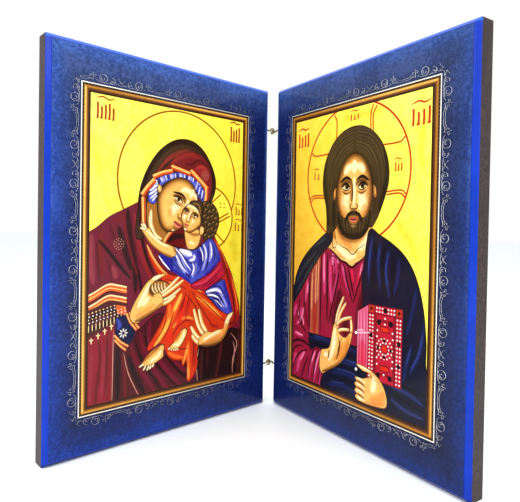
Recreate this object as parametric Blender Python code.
"""A two-leaf icon that stands open like a book.

Two boards with a chamfered front edge are linked along their inner sides by two
pairs of brass screw eyes. Each left eye stands upright, each right eye lies flat,
and the two rings pass through each other. The far wire of the upright ring is the
pin that the right leaf swings about.

Units are metres. +Z is up and the viewer stands at -Y. The origin is on the table,
under the middle of the object's box.
"""

import math

import bmesh
import bpy
from mathutils import Vector

# Boards
BOARD_WIDTH = 0.140
BOARD_HEIGHT = 0.200
BOARD_THICKNESS = 0.010
FRONT_CHAMFER = 0.0021
EDGE_ROUND = 0.0003

# Screw eyes, all four alike
WIRE_DIAMETER = 0.0011
RING_DIAMETER = 0.0043
NECK_BEND_RADIUS = 0.0008
EYE_LENGTH = 0.0152
SCREW_TIP_LENGTH = 0.0020
SCREW_POINT_SHARE = 0.12
RING_MOUTH_DEG = 45.0

# How the eyes sit in the boards
PIN_TO_SIDE = 0.0078
SHANK_BEHIND_FACE = 0.0040
EYE_TO_BOARD_END = 0.0243
RING_SLACK = 0.0002

# Angle between the two printed faces as the object stands
OPENING_DEG = 81.0

# Gap kept between a screw and its hole
CLEARANCE = 0.0003

# Fineness of the round shapes
RING_STEP_DEG = 15.0
BEND_STEPS = 5
WIRE_SIDES_SETTING = 4
HOLE_SIDES = 24
ROUND_STEPS = 2
ROUNDED_FROM_DEG = 30.0

# Values worked out from the sizes above
WIRE_RADIUS = WIRE_DIAMETER / 2
RING_RADIUS = (RING_DIAMETER - WIRE_DIAMETER) / 2
RING_TO_TIP = EYE_LENGTH - RING_DIAMETER / 2
HALF_OPENING = math.radians(OPENING_DEG / 2)
EYE_HEIGHTS = {"lower": EYE_TO_BOARD_END, "upper": BOARD_HEIGHT - EYE_TO_BOARD_END}

# side is +1 where the board's back is on the local +Y side, and -1 where it is on -Y
LEAVES = {
    "left": {"side": -1, "heading": -math.pi / 2 - HALF_OPENING, "ring_centre": RING_RADIUS},
    "right": {"side": 1, "heading": -math.pi / 2 + HALF_OPENING, "ring_centre": RING_SLACK},
}


def clear_scene():
    for item in list(bpy.data.objects):
        bpy.data.objects.remove(item, do_unlink=True)


def make_material(name, colour, roughness, metallic):
    material = bpy.data.materials.new(name)
    material.use_nodes = True
    shader = material.node_tree.nodes["Principled BSDF"]
    shader.inputs["Base Color"].default_value = (*colour, 1.0)
    shader.inputs["Roughness"].default_value = roughness
    shader.inputs["Metallic"].default_value = metallic
    return material


def add_object(name, data, parent):
    item = bpy.data.objects.new(name, data)
    bpy.context.scene.collection.objects.link(item)
    item.parent = parent
    return item


def turned(along, depth, heading):
    """The plan position of a point of a leaf, seen from the hinge pin."""
    x = along * math.cos(heading) - depth * math.sin(heading)
    y = along * math.sin(heading) + depth * math.cos(heading)
    return x, y


def pin_distance_from_middle():
    """How far the pin lies behind the middle of the whole object's box.

    The front of the box is the outer edge of a board's face. Its back is the flat
    ring, which stands out a little further than the boards' inner back corners.
    """
    heading = LEAVES["right"]["heading"]
    side_front = FRONT_CHAMFER - SHANK_BEHIND_FACE
    side_back = BOARD_THICKNESS - SHANK_BEHIND_FACE
    outer_side = PIN_TO_SIDE + BOARD_WIDTH
    plan = [
        (PIN_TO_SIDE, side_back),
        (outer_side, side_front),
        (outer_side - FRONT_CHAMFER, -SHANK_BEHIND_FACE),
    ]
    board = [turned(along, depth, heading)[1] for along, depth in plan]
    ring = turned(RING_SLACK, 0, heading)[1] + RING_DIAMETER / 2
    return -(min(board) + max(*board, ring)) / 2


def leaf_empty(name, heading):
    """An empty on the pin. Local +X runs along the board, away from the pin."""
    empty = add_object(name, None, None)
    empty.location = (0, pin_distance_from_middle(), 0)
    empty.rotation_euler = (0, 0, heading)
    return empty


def board_mesh(name, side):
    """A board whose front edge is chamfered all round, in its leaf's own frame."""

    def rectangle(shape, depth, inset):
        low_x = PIN_TO_SIDE + inset
        high_x = PIN_TO_SIDE + BOARD_WIDTH - inset
        low_z = inset
        high_z = BOARD_HEIGHT - inset
        y = side * (depth - SHANK_BEHIND_FACE)
        corners = [(low_x, low_z), (high_x, low_z), (high_x, high_z), (low_x, high_z)]
        return [shape.verts.new((x, y, z)) for x, z in corners]

    shape = bmesh.new()
    front = rectangle(shape, 0, FRONT_CHAMFER)
    arris = rectangle(shape, FRONT_CHAMFER, 0)
    back = rectangle(shape, BOARD_THICKNESS, 0)
    shape.faces.new(front)
    shape.faces.new(reversed(back))
    for near, far in ((front, arris), (arris, back)):
        for index in range(4):
            after = (index + 1) % 4
            shape.faces.new((near[after], near[index], far[index], far[after]))
    bmesh.ops.recalc_face_normals(shape, faces=shape.faces)
    mesh = bpy.data.meshes.new(name)
    shape.to_mesh(mesh)
    shape.free()
    return mesh


def screw_hole(name, leaf, height, parent):
    """A cutter for the blind hole that one eye's shank sits in.

    Half of it lies outside the board, so that it cuts a clean mouth.
    """
    reach = leaf["ring_centre"] + RING_TO_TIP - PIN_TO_SIDE + CLEARANCE
    shape = bmesh.new()
    bmesh.ops.create_cone(
        shape,
        cap_ends=True,
        segments=HOLE_SIDES,
        radius1=WIRE_RADIUS + CLEARANCE,
        radius2=WIRE_RADIUS + CLEARANCE,
        depth=2 * reach,
    )
    mesh = bpy.data.meshes.new(name)
    shape.to_mesh(mesh)
    shape.free()
    cutter = add_object(name, mesh, parent)
    cutter.location = (PIN_TO_SIDE, 0, height)
    cutter.rotation_euler = (0, math.pi / 2, 0)
    cutter.hide_render = True
    cutter.display_type = "WIRE"
    return cutter


def make_board(name, leaf, parent, material):
    board = add_object(name, board_mesh(name, leaf["side"]), parent)
    board.data.materials.append(material)
    rounding = board.modifiers.new("edge rounding", "BEVEL")
    rounding.width = EDGE_ROUND
    rounding.segments = ROUND_STEPS
    rounding.limit_method = "ANGLE"
    rounding.angle_limit = math.radians(ROUNDED_FROM_DEG)
    for level, height in EYE_HEIGHTS.items():
        cutter = screw_hole(f"{name}_{level}_hole", leaf, height, parent)
        hole = board.modifiers.new(f"{level} screw hole", "BOOLEAN")
        hole.operation = "DIFFERENCE"
        hole.solver = "EXACT"
        hole.object = cutter
    return board


def eye_path():
    """The wire's centre line as (along, across, radius share), from the screw's tip.

    The shank lies on the along axis and points at the ring's centre, which is at
    zero. The wire leaves the shank in a short bend and runs round the ring until
    only its mouth is left open.
    """
    bend_centre = math.sqrt((RING_RADIUS + NECK_BEND_RADIUS) ** 2 - NECK_BEND_RADIUS**2)
    meet = math.atan2(NECK_BEND_RADIUS, bend_centre)
    full_width = RING_TO_TIP - SCREW_TIP_LENGTH
    path = [
        (RING_TO_TIP, 0, SCREW_POINT_SHARE),
        (full_width, 0, 1),
        ((full_width + bend_centre) / 2, 0, 1),
    ]

    bend_sweep = math.pi / 2 - meet
    for step in range(BEND_STEPS):
        angle = -math.pi / 2 - bend_sweep * step / BEND_STEPS
        along = bend_centre + NECK_BEND_RADIUS * math.cos(angle)
        across = NECK_BEND_RADIUS + NECK_BEND_RADIUS * math.sin(angle)
        path.append((along, across, 1))

    ring_sweep = math.tau - meet - math.radians(RING_MOUTH_DEG)
    ring_steps = round(ring_sweep / math.radians(RING_STEP_DEG))
    for step in range(ring_steps + 1):
        angle = meet + ring_sweep * step / ring_steps
        path.append((RING_RADIUS * math.cos(angle), RING_RADIUS * math.sin(angle), 1))
    return path


def make_eye(name, leaf, upright, height, parent, material):
    """One screw eye, bent from one wire. An upright ring stands in the leaf's XZ plane."""
    curve = bpy.data.curves.new(name, "CURVE")
    curve.dimensions = "3D"
    curve.bevel_depth = WIRE_RADIUS
    curve.bevel_resolution = WIRE_SIDES_SETTING
    curve.use_fill_caps = True
    path = eye_path()
    spline = curve.splines.new("POLY")
    spline.points.add(len(path) - 1)
    for point, (along, across, share) in zip(spline.points, path):
        place = Vector((along, 0, across)) if upright else Vector((along, leaf["side"] * across, 0))
        point.co = (*place, 1)
        point.radius = share
    spline.use_smooth = True
    curve.materials.append(material)
    eye = add_object(name, curve, parent)
    eye.location = (leaf["ring_centre"], 0, height)
    return eye


def build():
    clear_scene()
    blue_board = make_material("printed blue board", (0.02, 0.06, 0.35), 0.25, 0.0)
    brass = make_material("brass wire", (0.62, 0.50, 0.24), 0.28, 1.0)
    for leaf_name, leaf in LEAVES.items():
        parent = leaf_empty(f"{leaf_name}_leaf", leaf["heading"])
        make_board(f"{leaf_name}_board", leaf, parent, blue_board)
        for level, height in EYE_HEIGHTS.items():
            name = f"{leaf_name}_{level}_eye"
            make_eye(name, leaf, leaf_name == "left", height, parent, brass)


build()
